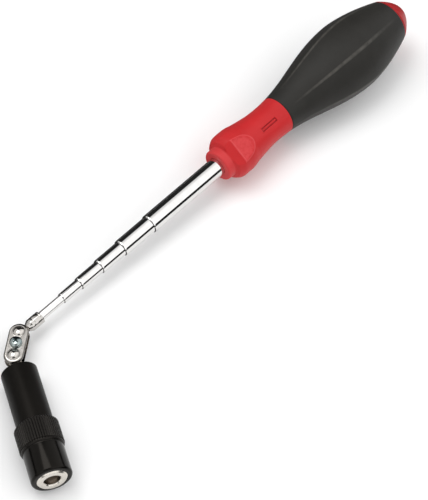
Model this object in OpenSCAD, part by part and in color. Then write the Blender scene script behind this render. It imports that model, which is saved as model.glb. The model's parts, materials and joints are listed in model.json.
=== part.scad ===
// Telescopic magnetic pickup tool: moulded handle, nested tubes, a two-ball swivel and a lit ring-magnet head.
// It is laid out as it lies on a bench, with the handle's bulge and the head both touching z = 0.
// All lengths are millimetres.

/* [Handle] */
// Length of the handle, nose face to butt
handle_len = 117.3; // [114:0.1:122]
// Width of the grip across its flats at the bulge
grip_w = 31.8; // [30:0.1:33]
// How far the rounded ridges stand above the flats, as a fraction of the grip's half width
ridge_rise = 0.05; // [0.02:0.005:0.06]
// Diameter of the waist between collar and grip
waist_d = 16.2; // [15.8:0.1:17.4]
// Diameter of the anti-roll collar
collar_d = 20.4; // [20.2:0.1:21.4]
// Diameter of the short nose ring
nose_d = 14.0; // [13.4:0.1:14.6]

/* [Tubes] */
// Outside diameter of the largest, fixed tube
tube_d = 8.0; // [7.8:0.05:8.2]
// Length of each sliding tube
tube_len = 122; // [116:1:126]
// Fixed tube showing in front of the handle
show_1 = 39.9; // [30:0.1:45]
// Second tube showing
show_2 = 15.9; // [4:0.1:60]
// Third tube showing
show_3 = 12.0; // [4:0.1:60]
// Fourth tube showing
show_4 = 10.9; // [4:0.1:60]
// Fifth tube showing
show_5 = 9.3; // [4:0.1:60]
// Tip tube showing, up to the ferrule
show_6 = 11.1; // [4:0.1:60]

/* [Swivel] */
// Diameter of each ball
ball_d = 5.0; // [4.8:0.05:5.1]
// Distance between the two ball centres
ball_gap = 10.2; // [10.2:0.1:11]
// Bend between the tubes and the clamp plates, degrees
bend_1 = 36.3; // [5:0.1:60]
// Bend between the clamp plates and the head, degrees
bend_2 = 25.5; // [20:0.1:45]

/* [Head] */
// Diameter of the battery barrel
barrel_d = 14.0; // [13.8:0.05:14.4]
// Visible length of the battery barrel
barrel_len = 25.0; // [24.6:0.1:26]
// Diameter of the knurled collar
knurl_d = 16.9; // [16.7:0.05:17.6]
// Number of knurl ridges
knurl_n = 51; // [40:1:90]
// Diameter of the nose
head_nose_d = 15.5; // [15.3:0.05:16]
// Outside diameter of the ring magnet
magnet_d = 11.5; // [11:0.05:12]
// Hole through the ring magnet
magnet_hole = 6.1; // [5.8:0.05:6.6]
// How far the head's face points up from the bench, degrees
head_pitch = 3.4; // [2:0.1:4]

/* [Hidden] */
$fn = 64;

run = 0.03;            // radial running clearance

// stations along the tubes, measured from the first ball's centre towards the butt
u_cone = 4.0;          // front of the ferrule's cone
u_fer = 5.8;           // front of the ferrule's cylinder
u_fer2 = 11.1;         // rear of the ferrule
u_t5 = u_fer2 + show_6;
u_t4 = u_t5 + show_5;
u_t3 = u_t4 + show_4;
u_t2 = u_t3 + show_3;
u_t1 = u_t2 + show_2;
u_nose = u_t1 + show_1;
u_end = u_nose + handle_len;
u_col = u_nose + 3.6;                  // collar shoulder
u_waist = u_nose + 0.2557*handle_len;
u_split = u_nose + 0.316*handle_len;   // red to black boundary
u_bulge = u_nose + 0.695*handle_len;
u_rear = u_end - 8.4;                  // black to red boundary
u_ream = u_end - 9.2;                  // rear end of the fixed tube

// grip flats: a cosine rise from the waist, then a power-law fall to the butt
grip_r = grip_w/2;
waist_r = waist_d/2;
rear_r = 10.2;
function flat_r(u) = u < u_bulge
    ? waist_r + (grip_r - waist_r)*(1 - cos(180*(u - u_waist)/(u_bulge - u_waist)))/2
    : grip_r - (grip_r - rear_r)*pow((u - u_bulge)/(u_rear - u_bulge), 1.62);
// grip ridges stand above the flats in the middle and fade out at both ends
function fade(u) = sin(180*min(1, max(0, (u - u_split)/(u_rear - u_split))));
function ridge_r(u) = flat_r(u)*(1 + 0.002 + ridge_rise*pow(fade(u), 0.8));
grip_n = 26;
grip_u = [for (i = [0:grip_n]) u_split + (u_rear - u_split)*i/grip_n];

// tube sizes
tube_od = [tube_d, tube_d - 0.9, tube_d - 1.9, tube_d - 2.8, tube_d - 3.65, tube_d - 4.5];
wall = 0.35;
lip = 1.2;
sleeve_len = 10;

// head stations, measured from the second ball's centre towards the magnet
d_top = 6.9;
d_knurl = d_top + barrel_len;
d_kn2 = d_knurl + 11.0;
d_nose = d_kn2 + 11.9;
d_face = d_nose + 0.5;
barrel_r = barrel_d/2;
knurl_r = knurl_d/2;
head_nose_r = head_nose_d/2;

// attitude on the bench: the head rests on its barrel and collar, the handle on its lower flat
bend_b = bend_1 + bend_2;
z_ball2 = max(barrel_r*cos(head_pitch) - (d_top + 0.5)*sin(head_pitch),
              knurl_r*cos(head_pitch) - d_knurl*sin(head_pitch));
function roll_for(t) = asin((sin(head_pitch) + cos(bend_b)*sin(t))/(sin(bend_b)*cos(t)));
function link_rise(t) = -cos(bend_1)*sin(t) + sin(bend_1)*sin(roll_for(t))*cos(t);
function z_for(t) = z_ball2 - ball_gap*link_rise(t);
function bulge_z(t) = max([for (u = grip_u) flat_r(u)*cos(t) - (u - u_bulge)*sin(t)]);
function settle(t, n) = n == 0 ? t : settle(asin((bulge_z(t) - z_for(t))/u_bulge), n - 1);
tilt = settle(2.8, 8);
roll = roll_for(tilt);
z_ball1 = z_for(tilt);
up_z = cos(roll)*cos(tilt);
tail_z = (z_ball1 + ball_gap/2*link_rise(tilt) - 0.03 - 1.25*sqrt(1 - up_z*up_z))/up_z;

// direction of the head and of the link, for the overall box
function spin(v) = [v[0]*cos(tilt) - v[2]*sin(tilt), v[1], v[0]*sin(tilt) + v[2]*cos(tilt)];
dir_link = spin([-cos(bend_1), -sin(bend_1)*cos(roll), sin(bend_1)*sin(roll)]);
dir_head = spin([-cos(bend_b), -sin(bend_b)*cos(roll), sin(bend_b)*sin(roll)]);
rim = [[d_face, magnet_d/2 - 0.55], [d_nose, head_nose_r - 1.1], [d_nose - 0.08, head_nose_r - 0.68], [d_nose - 0.32, head_nose_r - 0.32], [d_nose - 0.68, head_nose_r - 0.08],
       [d_nose - 1.1, head_nose_r], [d_kn2 - 1.4, knurl_r]];
x_min = min([for (p = rim) ball_gap*dir_link[0] + p[0]*dir_head[0] - p[1]*sqrt(1 - pow(dir_head[0], 2))]);
y_min = min([for (p = rim) ball_gap*dir_link[1] + p[0]*dir_head[1] - p[1]*sqrt(1 - pow(dir_head[1], 2))]);
x_max = u_end*cos(tilt);
y_max = max([for (u = grip_u) ridge_r(u)]);
origin = [-(x_min + x_max)/2, -(y_min + y_max)/2, z_ball1];

// placing: local z runs along the part's own axis
module on_shaft() translate(origin) rotate([0, -tilt, 0]) rotate([0, 90, 0]) children();
module on_link() translate(origin) rotate([0, -tilt, 0]) rotate([-roll, 0, 0]) rotate([0, 0, 180 + bend_1]) children();
module on_head() on_link() translate([ball_gap, 0, 0]) rotate([0, 0, bend_2]) rotate([0, 90, 0]) children();

red = [0.80, 0.10, 0.12];
black_grip = [0.14, 0.14, 0.13];
chrome = [0.86, 0.87, 0.88];
steel = [0.62, 0.63, 0.65];
anod = [0.07, 0.07, 0.07];
brass = [0.80, 0.62, 0.30];

// ring with an optional hole, from z0 to z1
module band(r, z0, z1, hole = 0) {
    difference() {
        translate([0, 0, z0]) cylinder(r = r, h = z1 - z0);
        if (hole > 0) translate([0, 0, z0 - 1]) cylinder(r = hole, h = z1 - z0 + 2);
    }
}

// spindle inside the grip: follows the grip at a fixed rubber thickness
function spindle_r(u) = max(7.4, flat_r(u) - 4.0);

module handle_core() {
    r = collar_d/2;
    color(red) on_shaft() difference() {
        union() {
            difference() {
                rotate_extrude() polygon(concat(
                    [[0, u_nose], [nose_d/2 - 0.9, u_nose], [nose_d/2 - 0.25, u_nose + 0.25], [nose_d/2, u_nose + 0.9],
                     [nose_d/2, u_col - 0.6], [nose_d/2 + 0.35, u_col], [nose_d/2 + 1.1, u_col + 0.65],
                     [r - 1.0, u_col + 1.75], [r - 0.35, u_col + 2.6], [r - 0.08, u_col + 3.4], [r, u_col + 4.4],
                     [r + 0.02, u_col + 8.2], [r - 0.14, u_col + 9.4], [r - 0.5, u_col + 11.2],
                     [r - 0.87, u_col + 13.2], [r - 1.3, u_col + 15.9], [r - 1.62, u_col + 18.5],
                     [(r - 1.62 + waist_r)/2 - 0.1, (u_col + 18.5 + u_waist)/2]],
                    [for (i = [0:5]) let (u = u_waist + (u_split - u_waist)*i/5) [flat_r(u), u]],
                    [[0, u_split]]));
                // two flats, one in each half of the mould, leaning slightly outwards towards the grip, each with a sloping front
                for (a = [30, 210]) rotate([0, 0, a]) {
                    translate([r - 1.47, -12, u_col + 4.1]) rotate([0, 7.2, 0]) translate([0, 0, -0.4]) cube([8, 24, 24]);
                    translate([r - 1.47, -12, u_col + 4.1]) rotate([0, 21, 0]) translate([0, 0, -8]) cube([8, 24, 8]);
                }
            }
            // spindle under the grip
            rotate_extrude() polygon(concat(
                [[0, u_split - 1], [7.4, u_split - 1], [7.4, u_split + 1]],
                [for (i = [1:13]) let (u = u_split + (u_rear - u_split - 3)*i/13) [spindle_r(u), u]],
                [[0, u_rear - 3]]));
        }
        // bore for the fixed tube, with a pocket for the anchor bush
        translate([0, 0, u_nose - 1]) cylinder(r = tube_d/2, h = u_rear - u_nose);
        band(6.2, u_split + 14, u_split + 28);
        // shallow moulded slots on the waist
        for (a = [30, 120, 210, 300]) rotate([0, 0, a])
            translate([waist_r - 0.5, -0.9, u_waist - 7.9]) difference() {
                cube([4, 1.8, 8.8]);
                translate([-1, 0.56, 0.9]) cube([1.3, 0.68, 9]);
            }
    }
}

module grip_sleeve() {
    color(black_grip) on_shaft() difference() {
        intersection() {
            rotate_extrude() polygon(concat([[0, grip_u[0]]], [for (u = grip_u) [ridge_r(u), u]], [[0, grip_u[grip_n]]]));
            for_flats(0);
            for_flats(60);
            for_flats(120);
        }
        rotate_extrude() polygon(concat(
            [[0, u_split - 1], [7.4, u_split - 1], [7.4, u_split + 1]],
            [for (i = [1:13]) let (u = u_split + (u_rear - u_split - 3)*i/13) [spindle_r(u), u]],
            [[7.6, u_rear - 3], [7.6, u_rear + 1], [0, u_rear + 1]]));
    }
}
// slab bounded by one pair of opposite grip flats
module for_flats(a) {
    rotate([0, 0, a]) translate([0, 25, 0]) rotate([90, 0, 0]) linear_extrude(height = 50)
        polygon(concat([for (u = grip_u) [flat_r(u), u]], [for (i = [grip_n:-1:0]) [-flat_r(grip_u[i]), grip_u[i]]]));
}

module butt_cap() {
    color(red) on_shaft() difference() {
        rotate_extrude() polygon(concat(
            [[0, u_rear - 3], [7.6, u_rear - 3], [7.6, u_rear]],
            [for (i = [0:11]) let (u = u_rear + (u_end - u_rear)*(1 - pow(1 - i/12, 2)))
                [rear_r*sqrt((u_end - u)/(u_end - u_rear))*0.996, u]],
            [[0, u_end]]));
        translate([0, 0, u_rear - 4]) cylinder(r = tube_d/2, h = 4 + u_ream - u_rear);
    }
}

module outer_tube() {
    d = tube_od[0];
    color(chrome) on_shaft() difference() {
        rotate_extrude() polygon([[0, u_t1], [d/2 - 0.3, u_t1], [d/2 - 0.08, u_t1 + 0.12], [d/2, u_t1 + 0.4],
                                  [d/2, u_ream], [0, u_ream]]);
        translate([0, 0, u_t1 - 1]) cylinder(r = tube_od[1]/2 + run, h = 3);
        translate([0, 0, u_t1 + lip]) cylinder(r = d/2 - wall, h = 200);
    }
}

module anchor_bush() color(brass) on_shaft() band(6.2, u_split + 14, u_split + 28, tube_d/2);
module tube_end_plug() color(steel) on_shaft() band(tube_d/2 - wall, u_ream - 3, u_ream);

// one sliding tube: front lip, straight wall, and a rolled-down seat for its friction sleeve at the rear
module slider(i, u0) {
    d = tube_od[i];
    u1 = u0 + tube_len;
    color(chrome) on_shaft() difference() {
        rotate_extrude() polygon([[0, u0], [d/2 - 0.3, u0], [d/2 - 0.08, u0 + 0.12], [d/2, u0 + 0.4],
                                  [d/2, u1 - sleeve_len - 1], [d/2 - 0.15, u1 - sleeve_len - 1],
                                  [d/2 - 0.15, u1 - 1], [d/2, u1 - 1], [d/2, u1], [0, u1]]);
        translate([0, 0, u0 - 1]) cylinder(r = tube_od[i + 1]/2 + run, h = 3);
        translate([0, 0, u0 + lip]) cylinder(r = d/2 - wall, h = 200);
    }
}
// split spring sleeve that grips the next larger tube
module spring_sleeve(i, u1) {
    color(brass) on_shaft() difference() {
        band(tube_od[i - 1]/2 - wall - run, u1 - sleeve_len - 1, u1 - 1, tube_od[i]/2 - 0.15);
        translate([0, -0.4, u1 - sleeve_len - 2]) cube([8, 0.8, sleeve_len + 3]);
    }
}
module tube_2() slider(1, u_t2);
module tube_3() slider(2, u_t3);
module tube_4() slider(3, u_t4);
module tube_5() slider(4, u_t5);
module friction_sleeve_2() spring_sleeve(1, u_t2 + tube_len);
module friction_sleeve_3() spring_sleeve(2, u_t3 + tube_len);
module friction_sleeve_4() spring_sleeve(3, u_t4 + tube_len);
module friction_sleeve_5() spring_sleeve(4, u_t5 + tube_len);
u_tip = u_fer + 2.7;
module tip_tube() {
    d = tube_od[5];
    u1 = u_fer2 + tube_len;
    color(chrome) on_shaft() difference() {
        rotate_extrude() polygon([[0.9, u_tip], [d/2, u_tip], [d/2, u1 - sleeve_len - 1], [d/2 - 0.15, u1 - sleeve_len - 1],
                                  [d/2 - 0.15, u1 - 1], [d/2, u1 - 1], [d/2, u1], [0.9, u1]]);
    }
}
module friction_sleeve_6() spring_sleeve(5, u_fer2 + tube_len);

// crimped ferrule: cone, cylinder with two crimp grooves, and a pocket for the stud's head
module tip_ferrule() {
    color(chrome) on_shaft() difference() {
        rotate_extrude() polygon([[0, u_cone], [1.5, u_cone], [2.35, u_fer - 0.3], [2.5, u_fer], [2.5, u_fer + 1.2],
                                  [2.38, u_fer + 1.35], [2.38, u_fer + 1.55], [2.5, u_fer + 1.7],
                                  [2.5, u_fer2 - 1.1], [2.38, u_fer2 - 0.95], [2.38, u_fer2 - 0.75],
                                  [2.5, u_fer2 - 0.6], [2.5, u_fer2 - 0.2], [2.3, u_fer2], [0, u_fer2]]);
        translate([0, 0, u_cone - 1]) cylinder(r = 1.15 + run, h = 10);
        translate([0, 0, u_fer + 1.2]) cylinder(r = 1.75, h = 20);
    }
}

// ball stud: ball, neck, and a headed shank that turns in its socket
module ball_stud(neck, shank_end, shank_r, head_r, head_len) {
    sphere(d = ball_d);
    cylinder(r = neck, h = shank_end);
    translate([0, 0, shank_end - 2]) cylinder(r = shank_r, h = 2);
    translate([0, 0, shank_end]) cylinder(r = head_r, h = head_len);
}
module shaft_stud() color(steel) on_shaft() ball_stud(1.15, u_fer + 1.25, 1.15, 1.7, 1.2);
module head_stud() color(steel) on_head() union() {
    ball_stud(1.25, d_top + 3.05, 1.45, 2.7, 1.0);
    translate([0, 0, d_top - 0.75]) cylinder(r = 2.3, h = 0.7);
}

// stamped clamp plate: stadium tray with the rim turned towards its twin and a domed seat over each ball
plate_r = 3.8;
plate_out = 2.5;
plate_t = 0.8;
module stadium(r, z0, z1) {
    translate([0, 0, z0]) cylinder(r = r, h = z1 - z0);
    translate([ball_gap, 0, z0]) cylinder(r = r, h = z1 - z0);
    translate([0, -r, z0]) cube([ball_gap, 2*r, z1 - z0]);
}
module plate(hole) {
    difference() {
        union() {
            stadium(plate_r, 1.35, plate_out - 0.3);
            stadium(plate_r - 0.12, 1.35, plate_out - 0.12);
            stadium(plate_r - 0.35, 1.35, plate_out);
            for (x = [0, ball_gap]) translate([x, 0, 0]) intersection() {
                sphere(d = ball_d + 1.6);
                translate([0, 0, 1.5]) cylinder(r = 3, h = 4);
            }
        }
        difference() {
            stadium(plate_r - plate_t, 1, plate_out - plate_t);
            for (x = [0, ball_gap]) translate([x, 0, 0]) intersection() {
                sphere(d = ball_d + 1.6);
                translate([0, 0, 1.5]) cylinder(r = 4, h = 4);
            }
        }
        for (x = [0, ball_gap]) translate([x, 0, 0]) sphere(d = ball_d + 2*run);
        translate([ball_gap/2, 0, 0]) cylinder(r = hole, h = 6);
    }
}
module upper_clamp_plate() color(chrome) on_link() plate(1.3);
module lower_clamp_plate() color(chrome) on_link() mirror([0, 0, 1]) plate(1.3);

// pan-head screw with a cross recess
module clamp_screw() {
    color([0.62, 0.72, 0.80]) on_link() translate([ball_gap/2, 0, 0]) difference() {
        union() {
            translate([0, 0, -tail_z]) cylinder(r = 1.25, h = tail_z + plate_out);
            rotate_extrude() polygon([[0, plate_out], [2.45, plate_out], [2.45, plate_out + 0.6], [2.25, plate_out + 1.15],
                                      [1.7, plate_out + 1.5], [0.9, plate_out + 1.68], [0, plate_out + 1.72]]);
        }
        for (a = [45, 135]) rotate([0, 0, a]) translate([-1.35, -0.3, plate_out + 0.75]) cube([2.7, 0.6, 2]);
    }
}
module lock_washer() {
    color(steel) on_link() translate([ball_gap/2, 0, 0]) difference() {
        band(2.3, -plate_out - 0.6, -plate_out, 1.3);
        translate([1, -0.25, -plate_out - 1]) cube([3, 0.5, 2]);
    }
}
module clamp_nut() {
    color(steel) on_link() translate([ball_gap/2, 0, -plate_out - 2.6]) difference() {
        cylinder(r = 2.5/cos(30), h = 2.0, $fn = 6);
        translate([0, 0, -1]) cylinder(r = 1.25, h = 4);
    }
}

// battery barrel: closed rear end with the stud's hole, cell bore, and a thinner neck inside the collar
neck_r = 6.65;
cell_r = 6.05;
module battery_barrel() {
    color(anod) on_head() difference() {
        rotate_extrude() polygon([[0, d_top], [barrel_r - 0.5, d_top], [barrel_r - 0.15, d_top + 0.15], [barrel_r, d_top + 0.5],
                                  [barrel_r, d_knurl - 0.05], [neck_r, d_knurl - 0.05], [neck_r, d_knurl + 3.0],
                                  [neck_r - 0.42, d_knurl + 3.0], [neck_r - 0.42, d_knurl + 4.0], [neck_r, d_knurl + 4.0],
                                  [neck_r, d_kn2 - 3.0], [0, d_kn2 - 3.0]]);
        translate([0, 0, d_top - 1]) cylinder(r = 1.45 + run, h = 10);
        translate([0, 0, d_top + 3.0]) cylinder(r = cell_r, h = 60);
    }
}
module barrel_o_ring() {
    color([0.05, 0.05, 0.05]) on_head() rotate_extrude()
        polygon([[neck_r - 0.42, d_knurl + 3.05], [neck_r - 0.05, d_knurl + 3.05], [neck_r + 0.01, d_knurl + 3.3],
                 [neck_r + 0.01, d_knurl + 3.7], [neck_r - 0.05, d_knurl + 3.95], [neck_r - 0.42, d_knurl + 3.95]]);
}
module battery_liner() color([0.90, 0.90, 0.86]) on_head() band(cell_r, d_top + 5.0, d_knurl - 0.8, 5.82);
module spring_seat() color(brass) on_head() band(5.7, d_top + 4.2, d_top + 4.8);
// closed coil spring, drawn as touching turns
module contact_spring() {
    color(steel) on_head() for (i = [0:4])
        translate([0, 0, d_top + 5.18 + i*0.56]) rotate_extrude() translate([3.6 - 0.3*i, 0]) circle(r = 0.36, $fn = 24);
}
module button_cells() {
    c = (d_knurl - 0.9 - (d_top + 7.8))/3;
    color(steel) on_head() for (i = [0:2]) translate([0, 0, d_top + 7.8 + i*c])
        rotate_extrude() polygon([[0, 0.02], [4.9, 0.02], [5.0, 0.12], [5.0, 0.7], [5.78, 0.9], [5.8, 1.1],
                                  [5.8, c - 0.2], [5.65, c - 0.02], [0, c - 0.02]]);
}

// knurled collar: straight ridges between two smooth bands
module knurled_collar() {
    color(anod) on_head() difference() {
        union() {
            translate([0, 0, d_knurl + 0.5]) linear_extrude(height = d_kn2 - d_knurl - 0.5 - 1.5)
                polygon([for (i = [0:2*knurl_n - 1]) let (q = 180*i/knurl_n, r = knurl_r - (i % 2)*0.28) [r*cos(q), r*sin(q)]]);
            rotate_extrude() polygon([[0, d_knurl + 0.02], [knurl_r - 0.75, d_knurl + 0.02], [knurl_r - 0.3, d_knurl + 0.45],
                                      [knurl_r - 0.3, d_kn2 - 1.0], [knurl_r - 0.75, d_kn2 - 0.45],
                                      [knurl_r - 0.9, d_kn2 - 0.45], [knurl_r - 0.9, d_kn2], [0, d_kn2]]);
        }
        translate([0, 0, d_knurl - 1]) cylinder(r = neck_r + 0.05, h = d_kn2 - d_knurl - 0.7);
        translate([0, 0, d_kn2 - 1.75]) cylinder(r = 7.0, h = 4);
    }
}
module nose_sleeve() {
    r = head_nose_r;
    color([0.05, 0.05, 0.05]) on_head() difference() {
        rotate_extrude() polygon([[0, d_kn2 - 1.75], [7.0, d_kn2 - 1.75], [7.0, d_kn2], [r - 0.25, d_kn2], [r, d_kn2 + 0.25],
                                  [r, d_nose - 1.1], [r - 0.08, d_nose - 0.68], [r - 0.32, d_nose - 0.32],
                                  [r - 0.68, d_nose - 0.08], [r - 1.1, d_nose], [0, d_nose]]);
        translate([0, 0, d_kn2 - 3]) cylinder(r = 6.0, h = 5.4);
        translate([0, 0, d_kn2]) cylinder(r = magnet_d/2, h = 20);
    }
}
d_seat = d_kn2 + 2.4;
module magnet_seat() color(steel) on_head() band(magnet_d/2, d_seat, d_seat + 1.2, 2.75);
module ring_magnet() {
    ro = magnet_d/2;
    ri = magnet_hole/2;
    color([0.85, 0.83, 0.78]) on_head() rotate_extrude()
        polygon([[ri, d_seat + 1.2], [ro, d_seat + 1.2], [ro, d_face - 0.55], [ro - 0.55, d_face],
                 [ri + 0.45, d_face], [ri, d_face - 0.45]]);
}
// lamp holder, carried by the twisting front end
module led_holder() {
    color([0.92, 0.92, 0.88]) on_head() difference() {
        union() {
            band(5.95, d_knurl + 1.3, d_kn2 - 2.95);
            band(6.0, d_kn2 - 2.95, d_seat);
        }
        translate([0, 0, d_seat - 1.1]) cylinder(r = 2.95, h = 3);
        for (y = [-1.27, 1.27]) translate([0, y, d_knurl]) cylinder(r = 0.35, h = 20);
    }
}
module led() {
    b = d_seat - 1.1;
    color([0.85, 0.80, 0.72]) on_head() union() {
        translate([0, 0, b]) cylinder(r = 2.9, h = 1.0);
        translate([0, 0, b]) cylinder(r = 2.5, h = 6.1);
        translate([0, 0, b + 6.1]) intersection() {
            sphere(r = 2.5);
            translate([0, 0, -0.5]) cylinder(r = 4, h = 4);
        }
        for (y = [-1.27, 1.27]) translate([0, y, d_knurl + 1.3]) cylinder(r = 0.25, h = b - d_knurl - 1.2);
    }
}
module circuit_disc() {
    color([0.10, 0.35, 0.18]) on_head() union() {
        band(5.6, d_knurl + 0.1, d_knurl + 1.3);
        translate([0, 0, d_knurl - 0.75]) cylinder(r = 1.6, h = 0.9);
    }
}

handle_core();
grip_sleeve();
butt_cap();
outer_tube();
anchor_bush();
tube_end_plug();
tube_2();
friction_sleeve_2();
tube_3();
friction_sleeve_3();
tube_4();
friction_sleeve_4();
tube_5();
friction_sleeve_5();
tip_tube();
friction_sleeve_6();
tip_ferrule();
shaft_stud();
upper_clamp_plate();
lower_clamp_plate();
clamp_screw();
lock_washer();
clamp_nut();
head_stud();
battery_barrel();
battery_liner();
button_cells();
contact_spring();
spring_seat();
barrel_o_ring();
knurled_collar();
nose_sleeve();
magnet_seat();
ring_magnet();
led_holder();
led();
circuit_disc();
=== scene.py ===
import bpy, bmesh, json, math
import numpy as np
from mathutils import Matrix, Vector


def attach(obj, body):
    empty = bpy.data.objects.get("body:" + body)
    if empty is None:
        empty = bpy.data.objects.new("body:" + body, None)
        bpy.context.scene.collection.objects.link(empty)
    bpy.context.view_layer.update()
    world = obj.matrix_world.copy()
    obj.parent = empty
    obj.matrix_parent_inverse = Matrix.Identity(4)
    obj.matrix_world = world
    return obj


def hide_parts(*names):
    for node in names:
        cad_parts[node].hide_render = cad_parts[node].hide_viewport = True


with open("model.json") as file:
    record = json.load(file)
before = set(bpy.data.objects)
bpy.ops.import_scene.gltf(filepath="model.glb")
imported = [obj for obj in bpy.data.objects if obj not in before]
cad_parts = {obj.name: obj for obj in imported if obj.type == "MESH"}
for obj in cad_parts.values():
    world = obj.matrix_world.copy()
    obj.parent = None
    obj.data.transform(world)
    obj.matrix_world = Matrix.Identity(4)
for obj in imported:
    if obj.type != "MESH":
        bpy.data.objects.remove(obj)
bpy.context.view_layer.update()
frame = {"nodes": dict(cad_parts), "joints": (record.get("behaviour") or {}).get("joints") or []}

scene = bpy.context.scene
PI = math.pi

# ---------------------------------------------------------------- frames of the three axes
J = {j["name"]: j for j in frame["joints"]}
A = -Vector(J["tip_slide"]["axis"]).normalized()            # along the tubes, towards the butt
P1 = Vector(J["link_swing"]["pos_m"])
P2 = Vector(J["head_swing"]["pos_m"])
N = Vector(J["link_swing"]["axis"]).normalized()            # square to the clamp plates
W = (P2 - P1).normalized()                                  # from ball to ball
K = Vector(J["head_roll"]["axis"]).normalized()             # along the head, towards the magnet
DOWN = -Vector((-A.z, 0.0, A.x)).normalized()
GAP = (P2 - P1).length * 1000


def axes(origin, x, z):
    y = z.cross(x).normalized()
    m = Matrix.Identity(4)
    for i in range(3):
        m[i][0], m[i][1], m[i][2], m[i][3] = x[i] * 0.001, y[i] * 0.001, z[i] * 0.001, origin[i]
    return m


M_SHAFT = axes(P1, DOWN, A)
M_LINK = axes(P1, W, N)
M_MID = axes(P1 + W * GAP * 0.0005, W, N)
M_HEAD = axes(P2, -N, K)

# ---------------------------------------------------------------- stations (mm), as in the CAD
u_cone, u_fer, u_fer2 = 4.0, 5.8, 11.1
show = [39.9, 15.9, 12.0, 10.9, 9.3, 11.1]
u_t5 = u_fer2 + show[5]; u_t4 = u_t5 + show[4]; u_t3 = u_t4 + show[3]; u_t2 = u_t3 + show[2]
u_t1 = u_t2 + show[1]; u_nose = u_t1 + show[0]
handle_len = 117.3
u_end = u_nose + handle_len
u_col = u_nose + 3.6
u_waist = u_nose + 0.2557 * handle_len
u_split = u_nose + 0.316 * handle_len
u_bulge = u_nose + 0.695 * handle_len
u_rear = u_end - 8.4
u_ream = u_end - 9.2
grip_r, waist_r, rear_r, collar_r, nose_r = 15.9, 8.1, 10.2, 10.2, 7.0
tube_od = [8.0, 7.1, 6.1, 5.2, 4.35, 3.5]
tube_len = 122.0
d_top, d_knurl, d_kn2, d_nose, d_face = 6.9, 31.9, 42.9, 54.8, 55.3
barrel_r, knurl_r, head_nose_r, mag_r, hole_r = 6.99, 8.44, 7.72, 5.75, 3.05


def flat_r(u):
    if u < u_bulge:
        return waist_r + (grip_r - waist_r) * (1 - math.cos(PI * (u - u_waist) / (u_bulge - u_waist))) / 2
    return grip_r - (grip_r - rear_r) * ((u - u_bulge) / (u_rear - u_bulge)) ** 1.62


# ---------------------------------------------------------------- mesh helpers
def finish_mesh(name, verts, faces, mat, body, nodes=(), sharp=30.0, M=None):
    me = bpy.data.meshes.new(name)
    me.from_pydata([tuple(map(float, v)) for v in verts], [], [tuple(int(i) for i in f) for f in faces])
    if M is not None:
        me.transform(M)
    bm = bmesh.new(); bm.from_mesh(me)
    bmesh.ops.recalc_face_normals(bm, faces=bm.faces)
    bm.to_mesh(me); bm.free()
    me.polygons.foreach_set("use_smooth", [True] * len(me.polygons))
    me.set_sharp_from_angle(angle=math.radians(sharp))
    me.update()
    o = bpy.data.objects.new(name, me)
    scene.collection.objects.link(o)
    if mat:
        me.materials.append(mat)
    if body:
        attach(o, body)
    if nodes:
        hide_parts(*nodes)
    return o


def lathe_data(prof, n=128, rfun=None, closed=False):
    """Surface of revolution about local z. prof: (r, z) in mm. closed: the profile is a loop (a ring)."""
    th = np.arange(n) * 2 * PI / n
    c, s = np.cos(th), np.sin(th)
    verts, rows = [], []
    for r, z in prof:
        if r <= 1e-9:
            rows.append([len(verts)]); verts.append((0.0, 0.0, z)); continue
        rr = np.full(n, float(r)) if rfun is None else rfun(th, float(r), float(z))
        base = len(verts)
        verts.extend(zip(rr * c, rr * s, [z] * n))
        rows.append(list(range(base, base + n)))
    faces = []
    pairs = list(zip(rows, rows[1:])) + ([(rows[-1], rows[0])] if closed else [])
    for p, q in pairs:
        if len(p) == 1 and len(q) == 1:
            continue
        for i in range(n):
            j = (i + 1) % n
            if len(p) == 1:
                faces.append((p[0], q[i], q[j]))
            elif len(q) == 1:
                faces.append((p[i], q[0], p[j]))
            else:
                faces.append((p[i], q[i], q[j], p[j]))
    return verts, faces


def lathe(name, prof, M, mat, body, nodes=(), n=128, rfun=None, closed=False, sharp=30.0):
    v, f = lathe_data(prof, n, rfun, closed)
    return finish_mesh(name, v, f, mat, body, nodes, sharp, M)


def rounded(pts, closed=False, seg=5):
    """pts: (r, z, fillet). Returns a profile with each corner rounded."""
    out = []
    m = len(pts)
    for i, p in enumerate(pts):
        rad = p[2] if len(p) > 2 else 0
        if rad <= 0 or (not closed and (i == 0 or i == m - 1)):
            out.append((p[0], p[1])); continue
        a = np.array(pts[(i - 1) % m][:2], float); b = np.array(p[:2], float); c = np.array(pts[(i + 1) % m][:2], float)
        u, v = a - b, c - b
        lu, lv = np.linalg.norm(u), np.linalg.norm(v)
        u /= lu; v /= lv
        ang = math.acos(max(-1, min(1, float(u @ v))))
        if ang > PI - 0.02 or ang < 0.02:
            out.append((p[0], p[1])); continue
        d = min(rad / math.tan(ang / 2), 0.48 * lu, 0.48 * lv)
        rad = d * math.tan(ang / 2)
        cen = b + (u + v) / np.linalg.norm(u + v) * (rad / math.sin(ang / 2))
        s, e = b + u * d, b + v * d
        a0 = math.atan2(*(s - cen)[::-1]); a1 = math.atan2(*(e - cen)[::-1])
        da = (a1 - a0 + PI) % (2 * PI) - PI
        for k in range(seg + 1):
            t = a0 + da * k / seg
            out.append((cen[0] + rad * math.cos(t), cen[1] + rad * math.sin(t)))
    return out


def dense(prof, step):
    """Adds points so that no profile segment is longer than step."""
    out = [prof[0]]
    for p, q in zip(prof, prof[1:]):
        k = max(1, int(math.ceil(math.hypot(q[0] - p[0], q[1] - p[1]) / step)))
        out += [(p[0] + (q[0] - p[0]) * i / k, p[1] + (q[1] - p[1]) * i / k) for i in range(1, k + 1)]
    return out


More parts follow.
